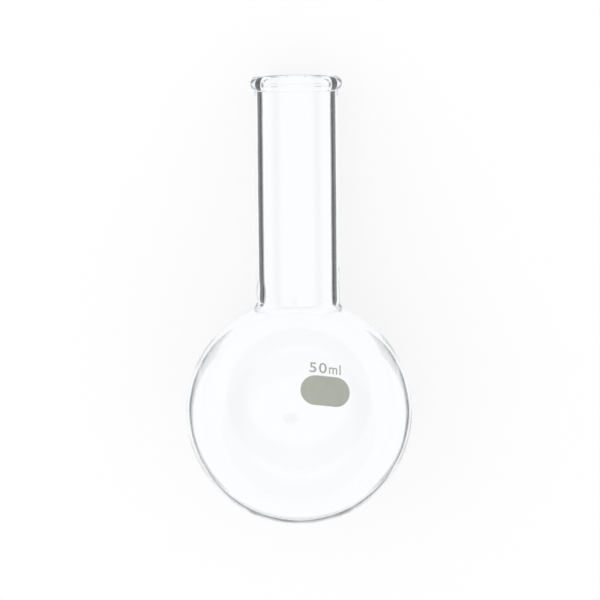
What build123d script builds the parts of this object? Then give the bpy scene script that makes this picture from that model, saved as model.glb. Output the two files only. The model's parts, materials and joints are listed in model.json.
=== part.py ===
from build123d import *
from math import acos, asin, atan2, cos, degrees, hypot, radians, sin, sqrt
import os

# A 50 ml round-bottom flask, blown from one piece of glass tube: a round bulb, a straight
# narrow neck and a fire-polished bead round the mouth. A round bottom can't stand, so the
# flask lies as it comes to rest on a table, on its bulb and its bead, with the mouth
# towards +Y. Millimetres, +Z up, with the table at Z = 0.

# Outside, as drawn in a catalogue: length over all, and the ball's diameter
overall_height = 105.0
bulb_diameter = 53.0
neck_diameter = 19.5

# Glass. The ball is blown out of the tube, so its wall thins from the neck to the bottom.
bulb_wall = 1.05
bottom_thinning = 0.15
neck_wall = 1.5

# Blown glass is never quite even. The whole inside lies this far off the outside's axis, so
# one side is heavier, and a flask that lies free rolls until that side is down.
inside_offset = 0.1

# The root where the ball runs into the neck, as a radius on the outside
shoulder_blend = 1.8

# The bead: how far it stands out of the neck, its round section, the hollow below it and
# the least flat that is left between the bead and the rounded lip
bead_projection = 0.95
bead_round = 1.7
bead_root = 0.5
mouth_flat = 0.05

# Radii of the turned form
bulb_radius = bulb_diameter / 2
hollow_radius = bulb_radius - bulb_wall
neck_radius = neck_diameter / 2
bore_radius = neck_radius - neck_wall
bore_blend = shoulder_blend + neck_wall
bead_ring_radius = neck_radius + bead_projection - bead_round
mouth_round = bead_ring_radius - bore_radius - inside_offset - mouth_flat

# Heights along the flask's own axis, from the centre of the ball
bottom_height = -bulb_radius
mouth_height = bottom_height + overall_height
bead_height = mouth_height - bead_round
bead_root_height = bead_height - sqrt(
    (bead_round + bead_root) ** 2 - (neck_radius + bead_root - bead_ring_radius) ** 2
)
mouth_edge_height = mouth_height - mouth_round
hollow_height = -bottom_thinning
bore_foot_height = hollow_height + sqrt(
    (hollow_radius + bore_blend) ** 2 - (bore_radius + bore_blend) ** 2
)

# Turns of the outline, in degrees: how far short of the pole each ball arc stops for its
# blend, and how far the hollow below the bead turns out
shoulder_stop = degrees(asin((neck_radius + shoulder_blend) / (bulb_radius + shoulder_blend)))
hollow_stop = degrees(asin((bore_radius + bore_blend) / (hollow_radius + bore_blend)))
root_turn = degrees(
    acos((neck_radius + bead_root - bead_ring_radius) / (bead_round + bead_root))
)

# Lean of the axis as the flask lies: ball and bead both touch the table
lean = degrees(
    asin((bulb_radius - bead_round) / hypot(bead_height, bead_ring_radius))
    - atan2(bead_ring_radius, bead_height)
)
mouth_reach = (
    bead_height * cos(radians(lean)) + bead_ring_radius * sin(radians(lean)) + bead_round
)
ball_centre = Vector(0, (bulb_radius - mouth_reach) / 2, bulb_radius)

# Half sections stand in the plane of the lean: their Y is the flask's axis, out of the mouth
axis_direction = Vector(0, cos(radians(lean)), -sin(radians(lean)))
radial_direction = Vector(0, sin(radians(lean)), cos(radians(lean)))
inside_centre = ball_centre + radial_direction * inside_offset
outside_section = Plane(origin=ball_centre, x_dir=radial_direction, z_dir=(-1, 0, 0))
inside_section = Plane(origin=inside_centre, x_dir=radial_direction, z_dir=(-1, 0, 0))

with BuildPart() as flask:
    # Outside, from the bottom pole up to the mouth
    with BuildSketch(outside_section) as outside:
        with BuildLine() as outline:
            ball = JernArc((0, bottom_height), (1, 0), bulb_radius, 180 - shoulder_stop)
            shoulder = JernArc(ball @ 1, ball % 1, shoulder_blend, shoulder_stop - 90)
            neck = Line(shoulder @ 1, (neck_radius, bead_root_height))
            root = JernArc(neck @ 1, neck % 1, bead_root, -root_turn)
            bead = JernArc(root @ 1, root % 1, bead_round, root_turn + 90)
            Polyline(bead @ 1, (0, mouth_height), ball @ 0)
        make_face()
    revolve(axis=Axis(ball_centre, axis_direction))

    # Inside, from the rounded lip down the bore and round the hollow of the ball
    with BuildSketch(inside_section) as inside:
        with BuildLine() as inline:
            lip = JernArc((bore_radius + mouth_round, mouth_height), (-1, 0), mouth_round, 90)
            bore = Line(lip @ 1, (bore_radius, bore_foot_height))
            throat = JernArc(bore @ 1, bore % 1, bore_blend, 90 - hollow_stop)
            hollow = JernArc(throat @ 1, throat % 1, hollow_radius, hollow_stop - 180)
            Polyline(hollow @ 1, (0, mouth_height), lip @ 0)
        make_face()
    revolve(axis=Axis(inside_centre, axis_direction), mode=Mode.SUBTRACT)

flask.part.label = "flask"
os.makedirs("parts", exist_ok=True)
export_step(flask.part, "parts/flask.step")
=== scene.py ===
"""A small round-bottom boiling flask of clear borosilicate glass, dressed and lit in Blender.

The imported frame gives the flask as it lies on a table: on its bulb and its bead, with the
mouth towards +Y. This script spins a fine glass body in the same place, fires the grey
enamel marking onto the bulb, and sets up a pale table, soft light and the camera.
"""

from __future__ import annotations

import json
import logging
from dataclasses import dataclass
from enum import Enum
from math import acos, asin, ceil, cos, degrees, exp, pi, radians, sin, sqrt

import bpy
from mathutils import Matrix, Vector

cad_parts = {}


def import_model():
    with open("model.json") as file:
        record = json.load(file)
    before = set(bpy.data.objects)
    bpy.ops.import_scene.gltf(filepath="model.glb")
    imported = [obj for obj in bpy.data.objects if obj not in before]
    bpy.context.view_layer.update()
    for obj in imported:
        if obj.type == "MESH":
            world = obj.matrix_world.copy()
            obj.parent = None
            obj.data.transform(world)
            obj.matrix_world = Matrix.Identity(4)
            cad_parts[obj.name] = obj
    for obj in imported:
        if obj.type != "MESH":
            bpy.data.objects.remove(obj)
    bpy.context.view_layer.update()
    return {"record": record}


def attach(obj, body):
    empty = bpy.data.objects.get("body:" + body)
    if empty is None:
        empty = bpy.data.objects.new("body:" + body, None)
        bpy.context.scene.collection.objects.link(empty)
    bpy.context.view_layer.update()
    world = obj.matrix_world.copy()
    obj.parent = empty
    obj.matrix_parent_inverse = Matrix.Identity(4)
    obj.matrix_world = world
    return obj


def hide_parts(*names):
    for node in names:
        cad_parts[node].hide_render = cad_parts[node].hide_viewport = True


LOG = logging.getLogger("flask")
MM = 0.001
TINY = 1e-9
Point = tuple[float, float]
Colour = tuple[float, ...]


class Slot(Enum):
    """The record's material slots."""

    GLASS = "clear_glass"
    MARKING = "marking_enamel"


class Socket:
    """A node's output that adds Math nodes when it is used in an expression."""

    def __init__(self, graph: Graph, link: bpy.types.NodeSocket) -> None:
        """Keeps the graph and the output that this value stands for."""
        self.graph = graph
        self.link = link

    def maths(self, operation: str, *values: Socket | float) -> Socket:
        """Adds a Math node.

        Args:
            operation: Blender's name for the sum.
            values: its inputs in order.

        Returns:
            The node's result.
        """
        return self.graph.node(
            "ShaderNodeMath", dict(enumerate(values)), operation=operation
        )

    def __add__(self, other: Socket | float) -> Socket:
        """self + other."""
        return self.maths("ADD", self, other)

    def __radd__(self, other: float) -> Socket:
        """other + self."""
        return self.maths("ADD", other, self)

    def __sub__(self, other: Socket | float) -> Socket:
        """self - other."""
        return self.maths("SUBTRACT", self, other)

    def __rsub__(self, other: float) -> Socket:
        """other - self."""
        return self.maths("SUBTRACT", other, self)

    def __mul__(self, other: Socket | float) -> Socket:
        """self * other."""
        return self.maths("MULTIPLY", self, other)

    def __rmul__(self, other: float) -> Socket:
        """other * self."""
        return self.maths("MULTIPLY", other, self)

    def ramp(self, low: float, high: float) -> Socket:
        """A smooth step: 0 at low and below, 1 at high and above."""
        return self.graph.node(
            "ShaderNodeMapRange",
            {"Value": self, "From Min": low, "From Max": high},
            interpolation_type="SMOOTHSTEP",
        )

    def size(self) -> Socket:
        """This value without its sign."""
        return self.maths("ABSOLUTE", self)

    def root(self) -> Socket:
        """The square root of this value."""
        return self.maths("SQRT", self)

    def along(self, direction: Vector) -> Socket:
        """How far this vector reaches along a fixed direction."""
        return self.graph.node(
            "ShaderNodeVectorMath",
            {0: self, 1: direction},
            "Value",
            operation="DOT_PRODUCT",
        )

    def any(self, *others: Socket) -> Socket:
        """The largest of this value and the others."""
        result = self
        for other in others:
            result = self.maths("MAXIMUM", result, other)
        return result


class Graph:
    """Fills one node tree from scratch."""

    def __init__(self, tree: bpy.types.NodeTree) -> None:
        """Takes a tree and empties it."""
        self.tree = tree
        tree.nodes.clear()

    def node(
        self,
        kind: str,
        inputs: dict[str | int, Socket | float | tuple[float, ...]] | None = None,
        output: str | int = 0,
        **settings: object,
    ) -> Socket | None:
        """Adds a node, sets it up and joins its inputs.

        Args:
            kind: the node's type name.
            inputs: a value or a link for each named or numbered input.
            output: which output to hand back.
            settings: the node's own settings, set before its inputs.

        Returns:
            The chosen output, or None if the node has none.
        """
        new = self.tree.nodes.new(kind)
        for name, value in settings.items():
            setattr(new, name, value)
        for name, value in (inputs or {}).items():
            if isinstance(value, Socket):
                self.tree.links.new(value.link, new.inputs[name])
            else:
                new.inputs[name].default_value = value
        return Socket(self, new.outputs[output]) if len(new.outputs) else None

    def mix_colour(
        self,
        factor: Socket | float,
        first: Socket | Colour,
        second: Socket | Colour,
    ) -> Socket:
        """A colour that goes from first to second as factor goes from 0 to 1."""
        return self.node(
            "ShaderNodeMix", {0: factor, 6: first, 7: second}, 2, data_type="RGBA"
        )

    def noise(self, grain: float, detail: float = 2.0) -> Socket:
        """Soft random patches over the piece, about grain metres across, from 0 to 1."""
        place = self.node("ShaderNodeTexCoord", output="Object")
        return self.node(
            "ShaderNodeTexNoise", {"Vector": place, "Scale": 1 / grain, "Detail": detail}
        )

    def bump(self, height: Socket, depth: float) -> Socket:
        """A normal for a relief whose height of 1 stands depth metres proud."""
        return self.node("ShaderNodeBump", {"Height": height, "Distance": depth})


@dataclass(frozen=True)
class FlaskForm:
    """The flask's sizes in metres, and where it lies.

    The ball, the neck, the bore and the axis come from the frame's mounts. The rest are
    sizes of the glass that no mount states.
    """

    ball_centre: Vector
    axis: Vector
    ball_radius: float
    neck_radius: float
    bore_radius: float
    length: float = 105.0 * MM
    ball_wall: float = 1.05 * MM
    bottom_thinning: float = 0.15 * MM
    inside_offset: float = 0.1 * MM
    shoulder_blend: float = 1.8 * MM
    bead_projection: float = 0.95 * MM
    bead_round: float = 1.7 * MM
    bead_root: float = 0.5 * MM
    mouth_flat: float = 0.05 * MM

    @classmethod
    def from_record(cls, record: dict) -> FlaskForm:
        """Reads the sizes and the lie that the frame's mounts state."""
        mounts = {mount["name"]: mount for mount in record["mounts"]}
        seat, bore, grip = (mounts[n] for n in ("bulb_seat", "neck_bore", "neck_grip"))
        radius = seat["dims"]["r_mm"] * MM
        axis = Vector(bore["axis"]).normalized()
        return cls(
            ball_centre=Vector(seat["pos_m"]) + axis * radius,
            axis=axis,
            ball_radius=radius,
            neck_radius=grip["dims"]["r_mm"] * MM,
            bore_radius=bore["dims"]["r_mm"] * MM,
        )

    @property
    def up(self) -> Vector:
        """The direction square to the axis that points most nearly up."""
        return Vector((0, -self.axis.z, self.axis.y))

    @property
    def hollow_radius(self) -> float:
        """The radius of the ball's inside."""
        return self.ball_radius - self.ball_wall

    @property
    def hollow_height(self) -> float:
        """How far the hollow's centre is from the ball's, along the axis."""
        return -self.bottom_thinning

    @property
    def throat_blend(self) -> float:
        """The radius that blends the hollow into the bore."""
        return self.shoulder_blend + self.neck_radius - self.bore_radius

    @property
    def throat_stop(self) -> float:
        """The angle at the hollow's centre from the axis to where that blend starts."""
        return asin(
            (self.bore_radius + self.throat_blend) / (self.hollow_radius + self.throat_blend)
        )

    @property
    def bore_foot(self) -> float:
        """The height where the bore's straight stretch starts."""
        reach = self.hollow_radius + self.throat_blend
        return self.hollow_height + reach * cos(self.throat_stop)

    @property
    def ring_radius(self) -> float:
        """The radius of the circle that the bead's round section is swept along."""
        return self.neck_radius + self.bead_projection - self.bead_round

    @property
    def mouth_round(self) -> float:
        """The radius of the lip's inner edge."""
        return self.ring_radius - self.bore_radius - self.inside_offset - self.mouth_flat

    @property
    def mouth_height(self) -> float:
        """How far the mouth's plane is from the ball's centre, along the axis."""
        return self.length - self.ball_radius

    def place(self, radius: float, height: float) -> Vector:
        """The point of the half section at a radius and a height along the axis."""
        return self.ball_centre + self.up * radius + self.axis * height


def arc(centre: Point, radius: float, start: float, end: float, pitch: float) -> list[Point]:
    """Points along an arc of the half section.

    Args:
        centre: its centre, as a radius and a height.
        radius: its radius in metres.
        start: its first angle in degrees, from the outward radius towards the mouth.
        end: its last angle in degrees.
        pitch: the largest angle between two points.

    Returns:
        The points, with both ends.
    """
    count = ceil(abs(end - start) / pitch)
    angles = [radians(start + (end - start) * i / count) for i in range(count + 1)]
    return [(centre[0] + radius * cos(a), centre[1] + radius * sin(a)) for a in angles]


def run(start: Point, end: Point, count: int) -> list[Point]:
    """The inner points of a straight run that is cut into count steps."""
    return [
        tuple(a + (b - a) * i / count for a, b in zip(start, end)) for i in range(1, count)
    ]


def select_none() -> None:
    """Deselects every object."""
    bpy.ops.object.select_all(action="DESELECT")


def edit(piece: bpy.types.Object) -> None:
    """Makes a piece the only selected one and opens it in edit mode, all selected."""
    select_none()
    piece.select_set(True)
    bpy.context.view_layer.objects.active = piece
    bpy.ops.object.mode_set(mode="EDIT")
    bpy.ops.mesh.select_all(action="SELECT")


def leave_edit() -> None:
    """Goes back to object mode."""
    bpy.ops.object.mode_set(mode="OBJECT")


@dataclass(frozen=True)
class ClearGlass:
    """Fire-polished borosilicate glass, a little wavy from the blowing.

    The tint and the density take a few parts in a hundred from the light that crosses both
    walls, and more where it runs along a wall.
    """

    ior: float = 1.473
    tint: Colour = (0.76, 0.83, 0.9, 1.0)
    density: float = 10.0
    wave: float = 14 * MM
    wave_depth: float = 0.05 * MM

    def material(self) -> bpy.types.Material:
        """The finish as a material."""
        material = bpy.data.materials.new("clear_glass")
        material.use_nodes = True
        graph = Graph(material.node_tree)
        glass = graph.node(
            "ShaderNodeBsdfPrincipled",
            {
                "Base Color": (1.0, 1.0, 1.0, 1.0),
                "Roughness": 0.0,
                "IOR": self.ior,
                "Transmission Weight": 1.0,
                "Normal": graph.bump(graph.noise(self.wave), self.wave_depth),
            },
        )
        volume = graph.node(
            "ShaderNodeVolumeAbsorption", {"Color": self.tint, "Density": self.density}
        )
        graph.node("ShaderNodeOutputMaterial", {"Surface": glass, "Volume": volume})
        return material


@dataclass(frozen=True)
class FiredEnamel:
    """Matt grey-beige marking enamel, fired onto the glass and slightly grainy."""

    colour: Colour = (0.355, 0.368, 0.315, 1.0)
    thin_colour: Colour = (0.378, 0.391, 0.337, 1.0)
    patch: float = 1.8 * MM
    patch_range: Point = (0.35, 0.75)
    grain: float = 0.15 * MM
    grain_depth: float = 0.004 * MM
    roughness: float = 0.55
    grain_roughness: float = 0.2

    def material(self) -> bpy.types.Material:
        """The finish as a material."""
        material = bpy.data.materials.new("marking_enamel")
        material.use_nodes = True
        graph = Graph(material.node_tree)
        patches = graph.noise(self.patch, detail=4.0)
        grain = graph.noise(self.grain)
        thin = patches.ramp(*self.patch_range)
        colour = graph.mix_colour(thin, self.colour, self.thin_colour)
        enamel = graph.node(
            "ShaderNodeBsdfPrincipled",
            {
                "Base Color": colour,
                "Roughness": self.roughness + self.grain_roughness * grain,
                "Normal": graph.bump(grain, self.grain_depth),
            },
        )
        graph.node("ShaderNodeOutputMaterial", {"Surface": enamel})
        return material


@dataclass
class GlassBody:
    """The blown glass: ball, neck and beaded mouth, spun from one closed outline."""

    form: FlaskForm
    steps_round: int = 256
    ball_pitch: float = 1.6
    small_pitch: float = 7.5
    neck_steps: int = 40
    weld: float = 0.001 * MM
    swell: float = 0.12 * MM
    swell_left: float = 0.08 * MM
    swell_height: float = 1.6 * MM
    swell_spread: float = 2.2 * MM

    def outline(self) -> list[Point]:
        """The half section, from the bottom pole up the outside and back down the inside.

        Returns:
            Radii and heights in metres, from the axis to the axis.
        """
        form = self.form
        blend, root, throat = form.shoulder_blend, form.bead_root, form.throat_blend
        ring, lip = form.ring_radius, form.mouth_round
        stop = asin((form.neck_radius + blend) / (form.ball_radius + blend))
        neck_foot = (form.ball_radius + blend) * cos(stop)
        bead_height = form.mouth_height - form.bead_round
        turn = acos((form.neck_radius + root - ring) / (form.bead_round + root))
        root_height = bead_height - (form.bead_round + root) * sin(turn)
        lip_height = form.mouth_height - lip
        stop, turn, inner_stop = degrees(stop), degrees(turn), degrees(form.throat_stop)
        fine, small = self.ball_pitch, self.small_pitch
        neck_ends = (form.neck_radius, neck_foot), (form.neck_radius, root_height)
        bore_ends = (form.bore_radius, lip_height), (form.bore_radius, form.bore_foot)
        throat_centre = (form.bore_radius + throat, form.bore_foot)
        return [
            *arc((0, 0), form.ball_radius, -90, 90 - stop, fine),
            *arc((form.neck_radius + blend, neck_foot), blend, 270 - stop, 180, small),
            *run(*neck_ends, self.neck_steps),
            *arc((form.neck_radius + root, root_height), root, 180, 180 - turn, small * 2),
            *arc((ring, bead_height), form.bead_round, -turn, 90, small),
            *arc((form.bore_radius + lip, lip_height), lip, 90, 180, small),
            *run(*bore_ends, self.neck_steps),
            *arc(throat_centre, throat, 180, 270 - inner_stop, small),
            *arc((0, form.hollow_height), form.hollow_radius, 90 - inner_stop, -90, fine),
        ]

    def build(self) -> bpy.types.Object:
        """Spins the outline round the axis into the closed glass body."""
        points = [self.form.place(radius, height) for radius, height in self.outline()]
        mesh = bpy.data.meshes.new("glass_body")
        edges = [(i, i + 1) for i in range(len(points) - 1)]
        mesh.from_pydata(points, edges, [])
        body = bpy.data.objects.new("glass_body", mesh)
        bpy.context.scene.collection.objects.link(body)
        edit(body)
        bpy.ops.mesh.spin(
            steps=self.steps_round,
            angle=2 * pi,
            center=self.form.ball_centre,
            axis=self.form.axis,
        )
        bpy.ops.mesh.select_all(action="SELECT")
        bpy.ops.mesh.remove_doubles(threshold=self.weld)
        bpy.ops.mesh.normals_make_consistent(inside=False)
        leave_edit()
        self.shape_inside(body)
        bpy.ops.object.shade_smooth()
        return body

    def shape_inside(self, body: bpy.types.Object) -> None:
        """Moves the inside off the axis, and swells it where the neck meets the ball."""
        form = self.form
        bore_limit = form.ring_radius - form.mouth_flat / 2
        hollow_limit = form.ball_radius - form.ball_wall / 2
        middle = form.bore_foot + self.swell_height
        for vertex in body.data.vertices:
            offset = vertex.co - form.ball_centre
            height = offset.dot(form.axis)
            outward = offset - form.axis * height
            in_bore = height > 0 and outward.length < bore_limit
            if not in_bore and offset.length > hollow_limit:
                continue
            vertex.co += form.up * form.inside_offset
            if in_bore and height > form.bore_foot:
                side = outward.normalized()
                fade = exp(-(((height - middle) / self.swell_spread) ** 2))
                vertex.co -= side * fade * (self.swell - self.swell_left * side.x)

    def dress(self, body: bpy.types.Object) -> None:
        """Gives the body its glass and its place in the frame."""
        body.data.materials.append(ClearGlass().material())
        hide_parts("flask")
        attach(body, "root")


@dataclass
class Marking:
    """The enamel on the ball: a plain writing spot with the capacity over it.

    The pieces are drawn flat, on a plane that touches the ball, and then wrapped onto it.
    The places of the number and the unit are how far each starts from the middle of the
    spot, its width and its height.
    """

    form: FlaskForm
    turned: float = 13.9
    raised: float = 17.0
    tilt: float = -8.0
    lift: float = 0.012 * MM
    film: float = 0.02 * MM
    line: float = 4.1 * MM
    spacing: float = 1.15
    weight: float = 0.02 * MM
    number_place: tuple[float, float, float] = (-3.95 * MM, 4.0 * MM, 2.5 * MM)
    unit_place: tuple[float, float, float] = (0.6 * MM, 2.8 * MM, 2.42 * MM)
    spot_half_height: float = 3.45 * MM
    spot_straight: float = 4.7 * MM
    spot_corners: int = 96
    spot_pitch: float = 0.6 * MM
    text_pitch: float = 0.5 * MM

    def frame(self) -> tuple[Vector, Vector, Vector]:
        """The touching plane's right, its up and its outward normal."""
        form, turned, raised = self.form, radians(self.turned), radians(self.raised)
        level = form.up * cos(turned) + Vector((1, 0, 0)) * sin(turned)
        out = level * cos(raised) + form.axis * sin(raised)
        right = form.axis.cross(out).normalized()
        right = -right if right.x < 0 else right
        upright = (form.axis - out * form.axis.dot(out)).normalized()
        turn = Matrix.Rotation(radians(self.tilt), 3, out)
        return turn @ right, turn @ upright, out

    def cut(self, piece: bpy.types.Object, pitch: float) -> None:
        """Cuts a flat piece into a grid, so that it can follow the ball."""
        low = [min(v.co[i] for v in piece.data.vertices) for i in range(2)]
        high = [max(v.co[i] for v in piece.data.vertices) for i in range(2)]
        edit(piece)
        for i, normal in enumerate(((1, 0, 0), (0, 1, 0))):
            for step in range(1, ceil((high[i] - low[i]) / pitch)):
                place = [0.0, 0.0, 0.0]
                place[i] = low[i] + step * pitch
                bpy.ops.mesh.select_all(action="SELECT")
                bpy.ops.mesh.bisect(plane_co=place, plane_no=normal)
        leave_edit()

    def wrap(self, piece: bpy.types.Object) -> None:
        """Lays a flat piece on the ball and gives it its thickness."""
        right, upright, out = self.frame()
        radius = self.form.ball_radius + self.lift
        for vertex in piece.data.vertices:
            x, y = vertex.co.x, vertex.co.y
            reach = sqrt(x * x + y * y) or TINY
            angle = reach / radius
            sideways = (right * x + upright * y) / reach
            vertex.co = self.form.ball_centre + radius * (
                out * cos(angle) + sideways * sin(angle)
            )
        edit(piece)
        bpy.ops.mesh.normals_make_consistent(inside=False)
        leave_edit()
        if piece.data.polygons[0].normal.dot(out) < 0:
            piece.data.flip_normals()
        solid = piece.modifiers.new("film", "SOLIDIFY")
        solid.thickness = self.film
        solid.offset = 1.0
        bpy.ops.object.modifier_apply(modifier=solid.name)

    def writing_spot(self) -> bpy.types.Object:
        """The plain spot with round ends that a pencil can write on."""
        bpy.ops.mesh.primitive_circle_add(
            vertices=self.spot_corners,
            radius=self.spot_half_height,
            fill_type="NGON",
            location=(0, 0, 0),
        )
        spot = bpy.context.active_object
        spot.name = spot.data.name = "writing_spot"
        for vertex in spot.data.vertices:
            vertex.co.x += self.spot_straight / 2 * (1 if vertex.co.x > 0 else -1)
        self.cut(spot, self.spot_pitch)
        self.wrap(spot)
        return spot

    def letters(self, body: str, left: float, width: float, height: float) -> bpy.types.Object:
        """Plain letters as a flat mesh that stands on the line over the spot.

        Args:
            body: the letters.
            left: where the first one starts, from the middle of the spot.
            width: how wide they are together.
            height: how tall the tallest is.

        Returns:
            The mesh.
        """
        bpy.ops.object.text_add(location=(0, 0, 0))
        text = bpy.context.active_object
        text.data.body = body
        text.data.size = height
        text.data.space_character = self.spacing
        text.data.offset = self.weight
        select_none()
        text.select_set(True)
        bpy.context.view_layer.objects.active = text
        bpy.ops.object.convert(target="MESH")
        text = bpy.context.active_object
        places = [vertex.co for vertex in text.data.vertices]
        low = [min(place[i] for place in places) for i in range(2)]
        high = [max(place[i] for place in places) for i in range(2)]
        for place in places:
            place.x = left + (place.x - low[0]) / (high[0] - low[0]) * width
            place.y = self.line + (place.y - low[1]) / (high[1] - low[1]) * height
        return text

    def capacity(self) -> bpy.types.Object:
        """The capacity in plain numerals, over the spot."""
        number = self.letters("50", *self.number_place)
        unit = self.letters("ml", *self.unit_place)
        select_none()
        unit.select_set(True)
        number.select_set(True)
        bpy.context.view_layer.objects.active = number
        bpy.ops.object.join()
        number.name = number.data.name = "capacity_mark"
        self.cut(number, self.text_pitch)
        self.wrap(number)
        return number

    def dress(self, piece: bpy.types.Object, enamel: bpy.types.Material) -> None:
        """Gives a piece its enamel and its place in the frame."""
        piece.data.materials.clear()
        piece.data.materials.append(enamel)
        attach(piece, "root")


@dataclass(frozen=True)
class Viewpoint:
    """The camera: as far round and above the flask's axis as the photograph's."""

    form: FlaskForm
    elevation: float = 5.5
    lean: float = 0.54
    lens: float = 200.0
    frame_width: float = 140.8 * MM
    pixels: int = 600
    ball_pixel: Point = (299.2, 411.0)
    clip: Point = (0.01, 20.0)

    def axes(self) -> tuple[Vector, Vector, Vector]:
        """The picture's right, its up and the direction back to the camera."""
        form, rise, lean = self.form, radians(self.elevation), radians(self.lean)
        back = form.up * cos(rise) + form.axis * sin(rise)
        neck = form.axis * cos(rise) - form.up * sin(rise)
        level = Vector((1, 0, 0))
        right = level * cos(lean) - neck * sin(lean)
        return right, neck * cos(lean) + level * sin(lean), back

    def camera(self) -> bpy.types.Object:
        """Adds the camera and makes it the scene's."""
        right, upright, back = self.axes()
        scale = self.frame_width / self.pixels
        middle = self.pixels / 2
        centre = (
            self.form.ball_centre
            + right * (middle - self.ball_pixel[0]) * scale
            + upright * (self.ball_pixel[1] - middle) * scale
        )
        data = bpy.data.cameras.new("camera")
        data.lens = self.lens
        distance = self.frame_width * data.lens / data.sensor_width
        data.clip_start, data.clip_end = self.clip
        camera = bpy.data.objects.new("camera", data)
        bpy.context.scene.collection.objects.link(camera)
        turn = Matrix((right, upright, back)).transposed().to_4x4()
        camera.matrix_world = Matrix.Translation(centre + back * distance) @ turn
        bpy.context.scene.camera = camera
        return camera


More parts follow.
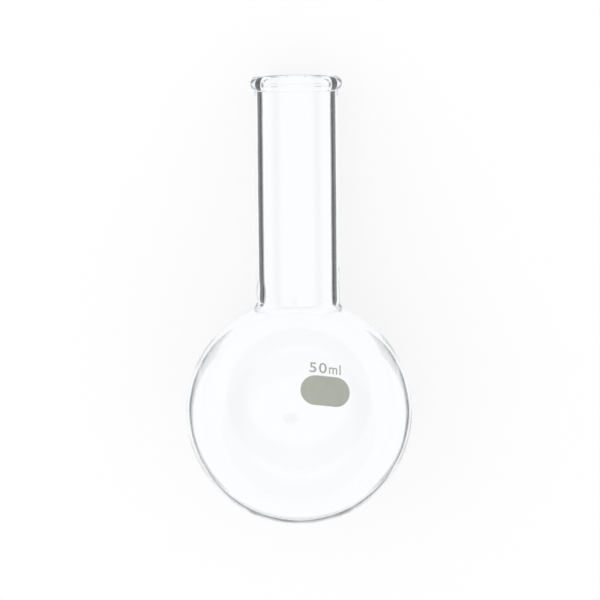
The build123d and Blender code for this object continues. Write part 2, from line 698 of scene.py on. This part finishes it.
@dataclass(frozen=True)
class Studio:
    """The pale table, the soft light, and the surroundings that the glass shows.

    A clear flask is seen by what it bends into view. Straight through it is white. A ring
    of dark card lies round that, open above, with a strip to each side that the neck's
    walls bend into view, and a grey belt low in the sky draws the edges from the side. The
    edges of cards and belt are angles in degrees, over which each comes in or fades out.
    The cards lie under the table, and the gaps and zones are where it lets them show.
    """

    view: Viewpoint
    table_side: float = 4.0
    table_colour: Colour = (0.9, 0.9, 0.9, 1.0)
    table_glow: float = 0.8
    white: Colour = (0.985, 0.99, 1.0, 1.0)
    card: Colour = (0.035, 0.04, 0.042, 1.0)
    belt: Colour = (0.45, 0.47, 0.49, 1.0)
    belt_foot: Point = (1.0, 9.0)
    belt_top: Point = (26.0, 38.0)
    side_card: Point = (21.0, 24.0)
    lower_card: Point = (11.0, 18.0)
    open_above: Point = (14.0, 26.0)
    ring_end: Point = (27.0, 30.0)
    strip_end: Point = (52.0, 56.0)
    strip_half_width: Point = (24.0, 30.0)
    neck_gap: Point = (17.2 * MM, 18.8 * MM)
    neck_slant: float = 0.096
    neck_zone: Point = (-18.0 * MM, -15.0 * MM)
    ball_gap: Point = (30.0 * MM, 33.0 * MM)
    side_limit: Point = (50.0 * MM, 53.0 * MM)
    ball_zone: Point = (12.0 * MM, 24.0 * MM)
    box_place: tuple[float, float, float] = (-0.5, 0.3, 0.9)
    box_side: float = 1.2
    box_power: float = 3.0
    bounces: int = 128

    def table(self) -> bpy.types.Object:
        """A wide white table, which keeps the flask's shadow."""
        bpy.ops.mesh.primitive_plane_add(size=self.table_side, location=(0, 0, 0))
        table = bpy.context.active_object
        table.name = "table"
        material = bpy.data.materials.new("white_table")
        material.use_nodes = True
        graph = Graph(material.node_tree)
        seen = graph.node("ShaderNodeLightPath", output="Is Camera Ray")
        glossy = graph.node("ShaderNodeLightPath", output="Is Glossy Ray")
        through = graph.node("ShaderNodeLightPath", output="Is Transmission Ray")
        lit = graph.node("ShaderNodeBsdfDiffuse", {"Color": self.table_colour})
        glow = graph.node("ShaderNodeEmission", {"Color": (1, 1, 1, 1), "Strength": 1.0})
        pale = graph.node("ShaderNodeMixShader", {0: self.table_glow, 1: lit, 2: glow})
        shown = graph.node("ShaderNodeMixShader", {0: seen.any(glossy), 1: lit, 2: pale})
        clear = graph.node("ShaderNodeBsdfTransparent")
        plain = graph.node("ShaderNodeEmission", {"Color": self.white, "Strength": 1.0})
        below = graph.node(
            "ShaderNodeMixShader", {0: self.card_zones(graph), 1: plain, 2: clear}
        )
        surface = graph.node("ShaderNodeMixShader", {0: through, 1: shown, 2: below})
        graph.node("ShaderNodeOutputMaterial", {"Surface": surface})
        table.data.materials.append(material)
        return table

    def card_zones(self, graph: Graph) -> Socket:
        """Where on the table the light that comes through the glass may go on to the cards.

        Returns:
            1 beside the neck and round the ball's sides and bottom, and 0 elsewhere.
        """
        form, back = self.view.form, self.view.axes()[2]
        foot = form.ball_centre - back * (form.ball_centre.z / back.z)
        place = graph.node("ShaderNodeTexCoord", output="Object")
        x = place.along(Vector((1, 0, 0)))
        y = place.along(Vector((0, 1, 0)))
        ahead = y - foot.y
        away = (x * x + ahead * ahead).root()
        beside = (x.size() + self.neck_slant * y).ramp(*self.neck_gap)
        neck = beside * y.ramp(*self.neck_zone)
        ball = away.ramp(*self.ball_gap) * (1.0 - ahead.ramp(*self.ball_zone))
        return neck.any(ball) * (1.0 - x.size().ramp(*self.side_limit))

    def cards(self, direction: Socket) -> Socket:
        """How much of a card a ray through the glass meets, from its direction."""
        right, upright, back = self.view.axes()
        across, rise = direction.along(right).size(), direction.along(upright)
        ahead = direction.along(-back)
        side = across.ramp(*self.sines(self.side_card))
        lower = (0.0 - rise).ramp(*self.sines(self.lower_card))
        open_above = rise.ramp(*self.sines(self.open_above))
        ring = ahead.ramp(*self.cosines(self.ring_end))
        strip = ahead.ramp(*self.cosines(self.strip_end))
        level = 1.0 - rise.size().ramp(*self.sines(self.strip_half_width))
        around = side.any(lower) * (1.0 - open_above) * ring
        return around.any(side * strip * level)

    @staticmethod
    def sines(angles: Point) -> Point:
        """The sines of two angles in degrees."""
        return tuple(sin(radians(angle)) for angle in angles)

    @staticmethod
    def cosines(angles: Point) -> Point:
        """The cosines of two angles in degrees, from the wider one to the narrower."""
        return tuple(cos(radians(angle)) for angle in reversed(angles))

    def world(self) -> None:
        """White all round, and for the light that comes through the glass also the cards."""
        world = bpy.data.worlds.new("studio")
        bpy.context.scene.world = world
        world.use_nodes = True
        graph = Graph(world.node_tree)
        direction = graph.node("ShaderNodeTexCoord", output="Generated")
        height = graph.node("ShaderNodeSeparateXYZ", {"Vector": direction}, "Z")
        through = graph.node("ShaderNodeLightPath", output="Is Transmission Ray")
        low, high = self.sines(self.belt_foot), self.sines(self.belt_top)
        belt = height.ramp(*low) * (1.0 - height.ramp(*high)) * through
        backdrop = graph.mix_colour(belt, self.white, self.belt)
        colour = graph.mix_colour(self.cards(direction) * through, backdrop, self.card)
        background = graph.node("ShaderNodeBackground", {"Color": colour, "Strength": 1.0})
        graph.node("ShaderNodeOutputWorld", {"Surface": background})

    def long_paths(self, scene: bpy.types.Scene) -> None:
        """Lets light that runs along inside the glass go on until it is out again."""
        scene.cycles.max_bounces = self.bounces
        scene.cycles.glossy_bounces = self.bounces
        scene.cycles.transmission_bounces = self.bounces

    def soft_box(self) -> None:
        """One large soft lamp, high to the left, for the shadow on the table."""
        data = bpy.data.lights.new("soft_box", "AREA")
        data.size = self.box_side
        data.energy = self.box_power
        lamp = bpy.data.objects.new("soft_box", data)
        bpy.context.scene.collection.objects.link(lamp)
        lamp.location = self.box_place
        lamp.rotation_mode = "QUATERNION"
        lamp.rotation_quaternion = (-Vector(self.box_place)).to_track_quat("-Z", "Y")
        lamp.visible_glossy = False
        lamp.visible_transmission = False


def main() -> None:
    """Builds and dresses the flask, its marking and the studio."""
    logging.basicConfig(level=logging.INFO, format="%(name)s: %(message)s")
    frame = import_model()
    select_none()
    form = FlaskForm.from_record(frame["record"])
    glass = GlassBody(form)
    body = glass.build()
    glass.dress(body)
    LOG.info("%s: %d faces", body.name, len(body.data.polygons))
    marking = Marking(form)
    enamel = FiredEnamel().material()
    for piece in (marking.writing_spot(), marking.capacity()):
        marking.dress(piece, enamel)
        LOG.info("%s: %d faces", piece.name, len(piece.data.polygons))
    view = Viewpoint(form)
    view.camera()
    studio = Studio(view)
    studio.table()
    studio.world()
    studio.soft_box()
    bpy.context.scene.view_settings.view_transform = "Standard"
    studio.long_paths(bpy.context.scene)


if __name__ == "__main__":
    main()
